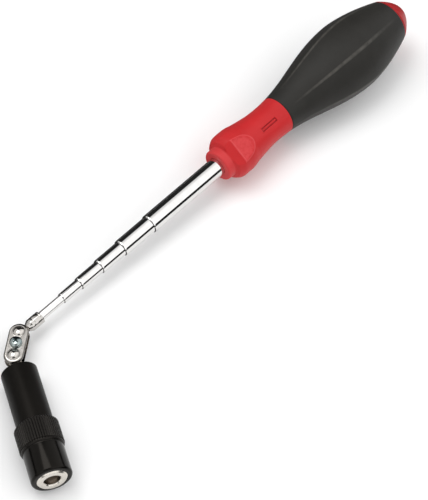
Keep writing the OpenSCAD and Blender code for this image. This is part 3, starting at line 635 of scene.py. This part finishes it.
# ---------------------------------------------------------------- clamp plates
def plate(name, sign, cad):
    """Stamped plate: stadium outline, rolled edge, rim turned down, a domed seat over each ball."""
    R, zo, t = 3.8, 2.5, 0.8
    g = GAP
    nseg = 56                       # points round each half circle
    ns = 30                         # points along each straight side
    def loop(d):
        """Outline offset inwards by d from the plate's edge, in the plate's plane."""
        r = R - d
        pts = []
        for i in range(nseg):
            a = PI / 2 + PI * i / nseg
            pts.append((r * math.cos(a), r * math.sin(a)))
        for i in range(ns):
            pts.append((g * i / ns, -r))
        for i in range(nseg):
            a = -PI / 2 + PI * i / nseg
            pts.append((g + r * math.cos(a), r * math.sin(a)))
        for i in range(ns):
            pts.append((g * (1 - i / ns), r))
        return pts
    def top(x, y, d):
        z = zo
        e = 0.9
        if d < e:
            z = zo - e + math.sqrt(max(0, e * e - (e - d) ** 2))
        q = min(math.hypot(x, y), math.hypot(x - g, y))
        # a dome over each ball, blended into the flat top
        dome = math.sqrt(max(0, 3.3 ** 2 - q * q)) if q < 3.3 else 0
        k = 0.12
        if dome > 0:
            h = max(0.0, k - abs(dome - z)) / k
            z = max(dome, z) + h * h * k / 4
        return z
    offs = [0.0, 0.0, 0.02, 0.06, 0.13, 0.22, 0.33, 0.45, 0.58, 0.73, 0.9] + list(np.linspace(1.0, R - 0.02, 40))
    verts, loops = [], []
    for j, d in enumerate(offs):
        ids = []
        for x, y in loop(d):
            z = 1.35 if j == 0 else top(x, y, d)
            ids.append(len(verts)); verts.append((x, y, z * sign))
        loops.append(ids)
    # inner side: rim inner wall, flat underside and the ball seats
    def under(x, y, d):
        if d <= t:
            return 1.35
        z = zo - t
        q = min(math.hypot(x, y), math.hypot(x - g, y))
        if q < 2.53:
            z = max(z, math.sqrt(max(0, 2.53 ** 2 - q * q)))
        return z
    inner = [0.0, 0.1, t, t] + list(np.linspace(t + 0.3, R - 0.02, 22))
    iloops = []
    for j, d in enumerate(inner):
        ids = []
        for x, y in loop(d):
            z = 1.35 if j < 3 else under(x, y, max(d, t + 0.001))
            if j == 0:
                continue
            ids.append(len(verts)); verts.append((x, y, z * sign))
        iloops.append(ids if j else loops[0])
    faces = []
    n = len(loops[0])
    def bridge(p, q):
        for i in range(n):
            j = (i + 1) % n
            faces.append((p[i], p[j], q[j], q[i]))
    for p, q in zip(loops, loops[1:]):
        bridge(p, q)
    for p, q in zip(iloops, iloops[1:]):
        bridge(p, q)
    # close the thin slit along the middle, leaving the screw's clearance hole to the screw itself
    for ids in (loops[-1], iloops[-1]):
        m = n // 2
        bmpairs = []
        up = [ids[i] for i in range(n)]
        # straight sides run opposite ways: cap as an n-gon split into strips
        a_side = up[nseg:nseg + ns + 1]
        b_side = [up[(2 * nseg + ns + i) % n] for i in range(ns + 1)][::-1]
        for i in range(ns):
            faces.append((a_side[i], a_side[i + 1], b_side[i + 1], b_side[i]))
        faces.append(tuple(up[0:nseg + 1]))
        faces.append(tuple(up[nseg + ns:2 * nseg + ns + 1]))
    return finish_mesh(name, verts, faces, PLATE, "link", [cad], 38, M_LINK)


pl_u = plate("plate_upper", 1, "upper_clamp_plate")
pl_l = plate("plate_lower", -1, "lower_clamp_plate")


def cutter(name, verts, faces, M):
    me = bpy.data.meshes.new(name)
    me.from_pydata(verts, [], faces); me.transform(M)
    bm = bmesh.new(); bm.from_mesh(me); bmesh.ops.recalc_face_normals(bm, faces=bm.faces); bm.to_mesh(me); bm.free()
    o = bpy.data.objects.new(name, me); scene.collection.objects.link(o)
    return o


def subtract(obj, cut, sharp=35):
    md = obj.modifiers.new("cut", "BOOLEAN"); md.operation = "DIFFERENCE"; md.object = cut; md.solver = "EXACT"
    bpy.context.view_layer.update()
    dg = bpy.context.evaluated_depsgraph_get()
    me = bpy.data.meshes.new_from_object(obj.evaluated_get(dg))
    old = obj.data
    obj.modifiers.clear(); obj.data = me
    me.polygons.foreach_set("use_smooth", [True] * len(me.polygons))
    me.set_sharp_from_angle(angle=math.radians(sharp))
    bpy.data.objects.remove(cut)
    bpy.data.meshes.remove(old)


v, f = lathe_data([(0, -5), (1.3, -5), (1.3, 5), (0, 5)], 48)
subtract(pl_u, cutter("c1", v, f, M_MID))
subtract(pl_l, cutter("c2", v, f, M_MID))

# screw: pan head with a tapered cross recess, plain shank shown as a rolled thread below the nut
zo = 2.5
tail = (P1 + W * GAP * 0.0005).z * 1000 / N.z - 0.12
prof = [(0, -tail), (0.95, -tail), (1.22, -tail + 0.3)]
z = -tail + 0.35
while z < -zo - 0.1:
    prof += [(1.24, z), (1.24, z + 0.10), (1.05, z + 0.22), (1.24, z + 0.34)]
    z += 0.45
prof += [(1.24, zo), (2.45, zo), (2.45, zo + 0.5), (2.38, zo + 0.8), (2.2, zo + 1.12), (1.85, zo + 1.38), (1.35, zo + 1.58), (0.7, zo + 1.69), (0, zo + 1.72)]
screw = lathe("screw", prof, M_MID, ZINC, "link", ["clamp_screw"], n=96, sharp=40)


def cross_recess(w0, w1, l0, l1, z0, z1, ang):
    """Two crossing tapered bars as one star-shaped prism."""
    vs, fs = [], []
    for (w, l, z) in ((w0, l0, z0), (w1, l1, z1)):
        ring = []
        for k in range(4):
            a = ang + k * PI / 2
            ca, sa = math.cos(a), math.sin(a)
            for (x, y) in ((w, -w), (l, -w * 0.9), (l * 1.04, 0), (l, w * 0.9)):
                ring.append((x * ca - y * sa, x * sa + y * ca, z))
        vs += ring
    n = 16
    for i in range(n):
        j = (i + 1) % n
        fs.append((i, j, n + j, n + i))
    fs.append(tuple(range(n))[::-1]); fs.append(tuple(range(n, 2 * n)))
    return vs, fs


v, f = cross_recess(0.16, 0.34, 0.55, 1.5, zo + 0.55, zo + 2.0, PI / 4 + 0.2)
subtract(screw, cutter("c3", v, f, M_MID), 30)


# hexagon nut with chamfered corners
def hexa(th, r, z):
    h = 2.5 / np.maximum(np.cos((th + PI / 6) % (PI / 3) - PI / 6), 0.5)
    return np.minimum(r, h) if r > 2.0 else np.full(len(th), r)


z0, z1 = -zo - 2.6, -zo - 0.6
lathe("nut", [(1.25, z1), (1.25, z0), (2.35, z0), (2.5, z0 + 0.02), (2.72, z0 + 0.14), (2.95, z0 + 0.32), (2.95, z1 - 0.32), (2.72, z1 - 0.14), (2.5, z1 - 0.02), (2.35, z1)],
      M_MID, STEEL, "link", ["clamp_nut"], n=144, rfun=hexa, closed=True, sharp=25)

# split spring washer, its two ends sprung slightly apart
vs, fs = [], []
nn = 90
a0 = math.radians(6)
for i in range(nn + 1):
    a = a0 + (2 * PI - 2 * a0) * i / nn
    zc = -zo - 0.3 + 0.02 * (i / nn - 0.5)
    for (r, dz) in ((1.32, -0.24), (2.28, -0.24), (2.28, 0.24), (1.32, 0.24)):
        vs.append((r * math.cos(a), r * math.sin(a), zc + dz))
for i in range(nn):
    for k in range(4):
        fs.append((4 * i + k, 4 * i + (k + 1) % 4, 4 * i + 4 + (k + 1) % 4, 4 * i + 4 + k))
fs += [(0, 1, 2, 3), tuple(4 * nn + k for k in (3, 2, 1, 0))]
finish_mesh("spring_washer", vs, fs, STEEL, "link", ["lock_washer"], 30, M_MID)

# ---------------------------------------------------------------- head
nr, cr = 6.65, 6.05
prof = rounded([(1.48, d_top, 0.12), (barrel_r, d_top, 0.55), (barrel_r, d_knurl - 0.05, 0.1), (nr, d_knurl - 0.05, 0.05), (nr, d_knurl + 3.0, 0), (nr - 0.42, d_knurl + 3.0, 0),
                (nr - 0.42, d_knurl + 4.0, 0), (nr, d_knurl + 4.0, 0), (nr, d_kn2 - 3.0, 0.2), (cr, d_kn2 - 3.0, 0.1), (cr, d_top + 3, 0.1), (1.48, d_top + 3, 0.1)], closed=True, seg=7)
lathe("barrel", prof, M_HEAD, ANOD, "head", ["battery_barrel"], n=192, closed=True, sharp=35)


# knurled collar
TEETH = 51
k_lo, k_hi = d_knurl + 0.42, d_kn2 - 1.6


def knurl(th, r, z):
    if r < knurl_r - 0.5:
        return np.full(len(th), r)
    ph = (th * TEETH / (2 * PI)) % 1.0
    tri = np.abs(ph - 0.5) * 2                       # 1 at a crest, 0 in a groove
    prof_t = np.clip(tri * 1.35, 0, 1) ** 0.9
    run = min(1.0, max(0.0, (z - k_lo + 0.2) / 0.2)) * min(1.0, max(0.0, (k_hi + 0.25 - z) / 0.25))
    return r - 0.28 * (1 - prof_t) * run


rk = knurl_r
outer = [(rk - 0.80, d_knurl + 0.02), (rk - 0.62, d_knurl + 0.05), (rk - 0.36, d_knurl + 0.22), (rk - 0.32, k_lo - 0.06), (rk - 0.10, k_lo), (rk, k_lo + 0.18)]
outer += [(rk, z) for z in np.linspace(k_lo + 0.6, k_hi - 0.6, 10)]
outer += [(rk, k_hi - 0.22), (rk - 0.10, k_hi), (rk - 0.30, k_hi + 0.06), (rk - 0.30, d_kn2 - 1.05), (rk - 0.34, d_kn2 - 0.9), (rk - 0.72, d_kn2 - 0.5), (rk - 0.9, d_kn2 - 0.45), (rk - 0.92, d_kn2)]
prof = outer + [(7.02, d_kn2), (7.02, d_kn2 - 1.75), (6.7, d_kn2 - 1.75), (6.7, d_knurl + 0.02)]
lathe("knurl_collar", prof, M_HEAD, ANOD_K, "lamp_end", ["knurled_collar"], n=TEETH * 12, rfun=knurl, closed=True, sharp=28)

hn = head_nose_r
prof = rounded([(6.02, d_kn2 - 1.75, 0), (7.0, d_kn2 - 1.75, 0), (7.0, d_kn2 + 0.01, 0), (hn, d_kn2 + 0.02, 0.25), (hn, d_nose - 0.03, 1.1), (mag_r + 0.03, d_nose - 0.03, 0.15),
                (mag_r + 0.03, d_kn2 + 2.4, 0), (6.02, d_kn2 + 2.4, 0)], closed=True, seg=9)
lathe("nose", prof, M_HEAD, GLOSS, "lamp_end", ["nose_sleeve"], n=192, closed=True, sharp=35)

d_seat = d_kn2 + 2.4
prof = rounded([(hole_r, d_seat + 1.2, 0), (mag_r, d_seat + 1.2, 0), (mag_r, d_face - 0.55, 0.12), (mag_r - 0.6, d_face, 0.25), (hole_r + 0.45, d_face, 0.15), (hole_r, d_face - 0.45, 0.15)], closed=True, seg=6)
lathe("ring_magnet_body", prof, M_HEAD, MAGNET, "lamp_end", ["ring_magnet"], n=192, closed=True, sharp=35)

b = d_seat - 1.1
prof = [(0, b), (2.9, b), (2.9, b + 0.9), (2.8, b + 1.0), (2.5, b + 1.0), (2.5, b + 6.1)]
prof += [(2.5 * math.cos(t), b + 6.1 + 2.5 * math.sin(t)) for t in np.linspace(0.06, PI / 2 - 0.04, 20)] + [(0, b + 8.6)]
lathe("lamp", prof, M_HEAD, LAMP, "lamp_end", ["led"], n=96)
for i, y in enumerate((-1.27, 1.27)):
    v, f = lathe_data([(0, d_knurl + 1.32), (0.25, d_knurl + 1.32), (0.25, b - 0.01), (0, b - 0.01)], 20)
    finish_mesh("lamp_lead_%d" % i, v, f, STEEL, "lamp_end", [], 30, M_HEAD @ Matrix.Translation((0, y, 0)))


# coil spring in the battery chamber
def sweep(name, path, r, mat_, body, nodes, M, n=14):
    path = [Vector(p) for p in path]
    vs, fs = [], []
    up = Vector((0, 0, 1))
    for i, p in enumerate(path):
        t = (path[min(i + 1, len(path) - 1)] - path[max(i - 1, 0)]).normalized()
        x = t.cross(up).normalized(); y = x.cross(t).normalized()
        for k in range(n):
            a = 2 * PI * k / n
            q = p + x * r * math.cos(a) + y * r * math.sin(a)
            vs.append(tuple(q))
    m = len(path)
    for i in range(m - 1):
        for k in range(n):
            l = (k + 1) % n
            fs.append((i * n + k, i * n + l, (i + 1) * n + l, (i + 1) * n + k))
    fs.append(tuple(range(n))[::-1]); fs.append(tuple((m - 1) * n + k for k in range(n)))
    return finish_mesh(name, vs, fs, mat_, body, nodes, 40, M)


path = []
for i in range(161):
    t = i / 160
    a = t * 4 * 2 * PI
    r = 3.6 - 1.2 * t
    path.append((r * math.cos(a), r * math.sin(a), d_top + 5.1 + 2.35 * t))
sweep("contact_coil", path, 0.28, STEEL, "head", ["contact_spring"], M_HEAD)

# carried-over CAD nodes get their finishes
def paint(names, m):
    for n in names:
        o = frame["nodes"][n]
        if len(o.material_slots) == 0:
            o.data.materials.append(m)
        for s in o.material_slots:
            s.material = m


paint(["anchor_bush", "spring_seat"] + ["friction_sleeve_%d" % i for i in range(2, 7)], BRASS)
paint(["tube_end_plug", "magnet_seat"], STEEL)
paint(["battery_liner", "led_holder"], WHITE)
paint(["button_cells"], CELL)
paint(["barrel_o_ring"], SEAL)
paint(["circuit_disc"], BOARD)

# ---------------------------------------------------------------- stage
fl = bpy.data.meshes.new("floor")
S = 2.2
fl.from_pydata([(-S, -S, 0), (S, -S, 0), (S, S, 0), (-S, S, 0)], [], [(0, 1, 2, 3)])
floor = bpy.data.objects.new("floor", fl)
scene.collection.objects.link(floor)
m, nt, b = mat("floor_white")
v = coords(nt)
nt.links.new(mixc(nt, noise(nt, v, 0.01, 2), (0.945, 0.945, 0.945), (0.95, 0.95, 0.95)), b.inputs["Base Color"])
b.inputs["Roughness"].default_value = 0.9
b.inputs["Specular IOR Level"].default_value = 0.1
fl.materials.append(m)

# pale backdrop behind the floor, there for the camera alone
bm = bmesh.new()
bmesh.ops.create_uvsphere(bm, u_segments=48, v_segments=24, radius=4.0)
bmesh.ops.reverse_faces(bm, faces=bm.faces)
bd = bpy.data.meshes.new("backdrop"); bm.to_mesh(bd); bm.free()
back = bpy.data.objects.new("backdrop", bd)
scene.collection.objects.link(back)
m = bpy.data.materials.new("backdrop_pale"); m.use_nodes = True
nt = m.node_tree; nt.nodes.clear()
o_, e_ = nt.nodes.new("ShaderNodeOutputMaterial"), nt.nodes.new("ShaderNodeEmission")
nt.links.new(mixc(nt, noise(nt, coords(nt), 0.0002, 1), (0.90, 0.90, 0.90), (0.93, 0.93, 0.93)), e_.inputs["Color"])
e_.inputs["Strength"].default_value = 1.0
nt.links.new(e_.outputs[0], o_.inputs[0])
bd.materials.append(m)
for flag in ("visible_diffuse", "visible_glossy", "visible_transmission", "visible_volume_scatter", "visible_shadow"):
    setattr(back, flag, False)

# soft white room: bright above, dark low down, with one dark card high on the far side and the
# dark shape of the camera, both seen only in the polished metal
wd = bpy.data.worlds.new("room"); scene.world = wd
wd.use_nodes = True
nt = wd.node_tree; nt.nodes.clear()
out = nt.nodes.new("ShaderNodeOutputWorld"); bg = nt.nodes.new("ShaderNodeBackground")
nt.links.new(bg.outputs[0], out.inputs[0])
tc = node(nt, "ShaderNodeTexCoord")


def wdot(v):
    d = node(nt, "ShaderNodeVectorMath", operation="DOT_PRODUCT")
    d.inputs[1].default_value = v
    nt.links.new(tc.outputs["Generated"], d.inputs[0])
    return d.outputs["Value"]


def wmath(op, a, b=None):
    m_ = node(nt, "ShaderNodeMath", operation=op)
    for i, q in enumerate((a, b)):
        if q is None:
            continue
        if isinstance(q, float):
            m_.inputs[i].default_value = q
        else:
            nt.links.new(q, m_.inputs[i])
    return m_.outputs[0]


def step(val, lo, hi):
    """0 below lo, 1 above hi."""
    r_ = node(nt, "ShaderNodeMapRange", ins={"From Min": lo, "From Max": hi, "To Min": 0.0, "To Max": 1.0}, interpolation_type="SMOOTHSTEP")
    nt.links.new(val, r_.inputs["Value"])
    return r_.outputs[0]


def half(phi, side):
    """1 where the direction's angle from straight up, towards +y, is past phi on the given side."""
    c, q = math.cos(math.radians(phi)), math.sin(math.radians(phi))
    return step(wdot((0.0, side * c, -side * q)), -0.012, 0.012)


sky = step(wdot((0.0, 0.0, 1.0)), 0.17, 0.21)
right = step(wdot((1.0, 0.0, 0.0)), 0.275, 0.30)
far_card = wmath("MULTIPLY", half(32.5, 1.0), right)
near_card = wmath("MULTIPLY", half(-67.0, -1.0), right)
card = wmath("MAXIMUM", far_card, near_card)
CAMD = Vector((-0.45, -0.35, 0.82)).normalized()
blob = step(wdot(tuple(CAMD)), math.cos(math.radians(21)), math.cos(math.radians(19)))
dark = wmath("MAXIMUM", card, wmath("MULTIPLY", blob, 0.9))
fall = wmath("SUBTRACT", 1.0, wmath("MULTIPLY", step(wdot((0.0, 1.0, 0.0)), -0.15, 0.60), 0.42))
val = wmath("MULTIPLY", wmath("MULTIPLY", sky, fall), wmath("SUBTRACT", 1.0, dark))
lev = wmath("MULTIPLY_ADD", val, 0.984)
lev.node.inputs[2].default_value = 0.016
nt.links.new(lev, bg.inputs[0])
bg.inputs[1].default_value = 1.35


# black card lying beyond the tubes: seen only as the dark edge of the polished metal
PAPER = m_plain("black_card_paper", (0.020, 0.020, 0.020), (0.028, 0.028, 0.028), 0.85, 0.95)
for name, x0, y0, x1, y1 in (("black_card", -0.125, 0.0225, 0.9, 1.3), ("black_card_near", -0.112, -1.5, 0.9, -0.085)):
    cd = bpy.data.meshes.new(name)
    cd.from_pydata([(x0, y0, 0.0003), (x1, y0, 0.0003), (x1, y1, 0.0003), (x0, y1, 0.0003)], [], [(0, 1, 2, 3)])
    card_o = bpy.data.objects.new(name, cd)
    scene.collection.objects.link(card_o)
    cd.materials.append(PAPER)
    for flag in ("visible_camera", "visible_diffuse", "visible_transmission", "visible_volume_scatter", "visible_shadow"):
        setattr(card_o, flag, False)


def area(name, loc, target, size, power, size_y=None):
    l = bpy.data.lights.new(name, "AREA"); l.energy = power; l.size = size
    if size_y:
        l.shape = "RECTANGLE"; l.size_y = size_y
    o = bpy.data.objects.new(name, l); scene.collection.objects.link(o)
    o.location = loc
    d = Vector(target) - Vector(loc)
    o.rotation_euler = d.to_track_quat("-Z", "Y").to_euler()
    return o


area("key", (-0.13, 0.38, 0.90), (0.0, 0.0, 0.0), 0.60, 3.0)

scene.view_settings.view_transform = "Standard"

# ---------------------------------------------------------------- camera
CAM = dict(az=37.33, el=55.233, roll=6.969, loc=(-0.30002, -0.22476, 0.52929), f=1600.0)
az, el, rl = (math.radians(CAM[k]) for k in ("az", "el", "roll"))
F = Vector((math.cos(el) * math.cos(az), math.cos(el) * math.sin(az), -math.sin(el)))
X = Vector((math.sin(az), -math.cos(az), 0))
U = X.cross(F)
Xr = X * math.cos(rl) + U * math.sin(rl); Ur = U * math.cos(rl) - X * math.sin(rl)
cam = bpy.data.cameras.new("camera"); co = bpy.data.objects.new("camera", cam)
scene.collection.objects.link(co)
mw = Matrix.Identity(4)
for i in range(3):
    mw[i][0], mw[i][1], mw[i][2], mw[i][3] = Xr[i], Ur[i], -F[i], CAM["loc"][i]
co.matrix_world = mw
cam.sensor_fit = "VERTICAL"
cam.sensor_height = 24.0
cam.lens = CAM["f"] / 500.0 * 24.0
cam.clip_start = 0.01
scene.camera = co
